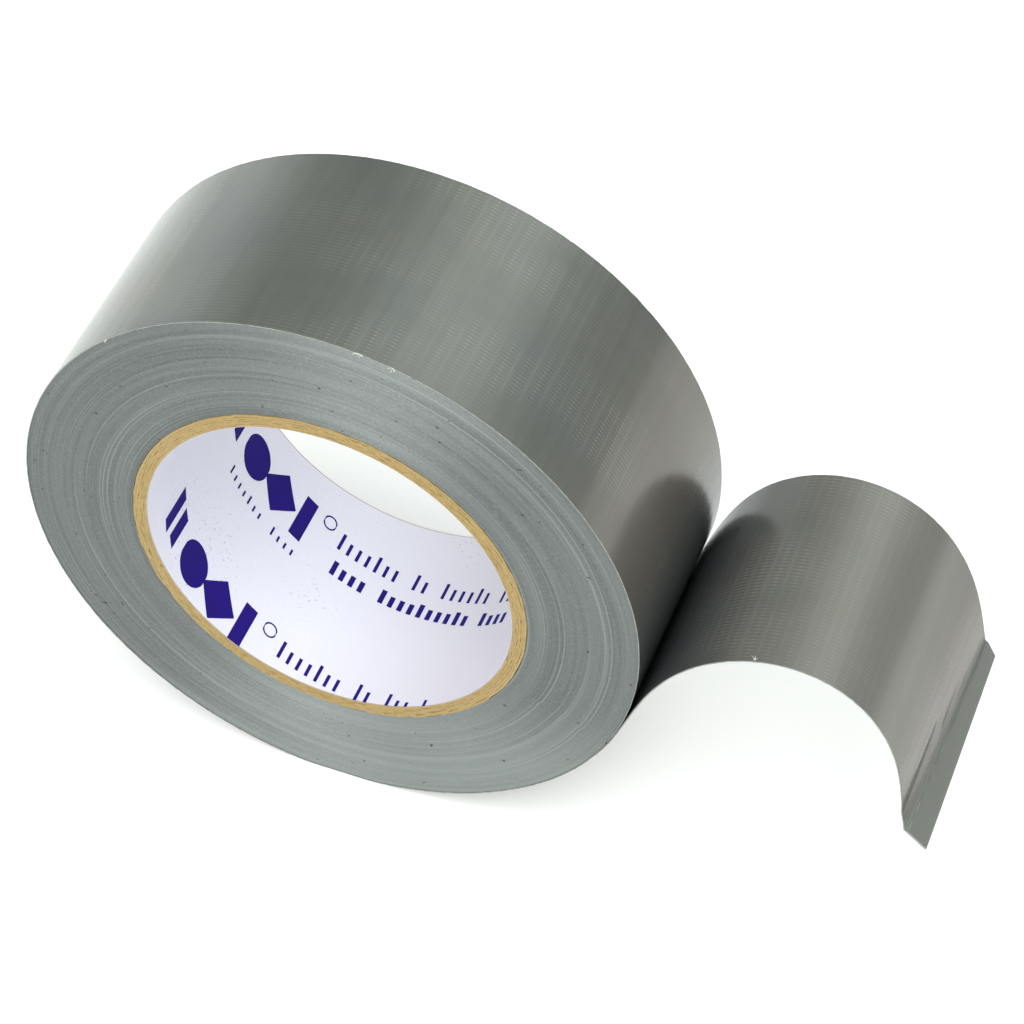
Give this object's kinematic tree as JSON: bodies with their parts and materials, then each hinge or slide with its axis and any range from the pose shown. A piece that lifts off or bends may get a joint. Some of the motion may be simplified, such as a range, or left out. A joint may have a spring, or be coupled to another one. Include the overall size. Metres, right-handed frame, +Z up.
{
  "type": "duct tape roll",
  "caption": "Roll of grey cloth-backed adhesive tape standing on its rim, with its free end peeled off in an arch and folded over into a pull tab.",
  "frame": {"origin": "middle of the flat on the rim that the roll stands on, directly below the centre of the core", "axes": "+Z up, the roll's axis along Y, the free end on the +X side"},
  "size_m": [0.1868, 0.048, 0.1276],
  "materials": {
    "liner": "matt white paper with printed marks",
    "kraft": "raw kraft board, fibrous at the cut ends",
    "wound_edge": "matt slit edges of many tape turns, fine concentric lines",
    "film": "grey polyethylene film, satin, with the weave pressed through",
    "scrim": "open cotton and polyester cloth",
    "adhesive": "grey rubber adhesive, tacky satin"
  },
  "bodies": {
    "roll": {"printed_liner": "liner", "core_ply_1": "kraft", "core_ply_2": "kraft", "core_ply_3": "kraft", "core_ply_4": "kraft", "core_ply_5": "kraft", "wound_tape": "wound_edge", "last_turn_film": "film", "last_turn_scrim": "scrim", "last_turn_adhesive": "adhesive"},
    "leader_rise": {"leader_rise_film": "film", "leader_rise_scrim": "scrim", "leader_rise_adhesive": "adhesive"},
    "leader_drop": {"leader_drop_film": "film", "leader_drop_scrim": "scrim", "leader_drop_adhesive": "adhesive"},
    "pull_tab": {"tab_film": "film", "tab_scrim": "scrim", "tab_adhesive": "adhesive"}
  },
  "joints": [
    {"name": "peel_bend", "type": "hinge", "parent": "roll", "child": "leader_rise", "pos_m": [0.05817, 0, 0.03734], "axis": [0, 1, 0], "range_deg": [0, 30], "stiffness_Nm_per_rad": 0.008, "springref_deg": -6.88},
    {"name": "crown_bend", "type": "hinge", "parent": "leader_rise", "child": "leader_drop", "pos_m": [0.09157, 0, 0.07629], "axis": [0, 1, 0], "range_deg": [-50, 50], "stiffness_Nm_per_rad": 0.008},
    {"name": "tab_bend", "type": "hinge", "parent": "leader_drop", "child": "pull_tab", "pos_m": [0.11871, 0, 0.03981], "axis": [0, 1, 0], "range_deg": [-40, 60], "stiffness_Nm_per_rad": 0.002}
  ]
}
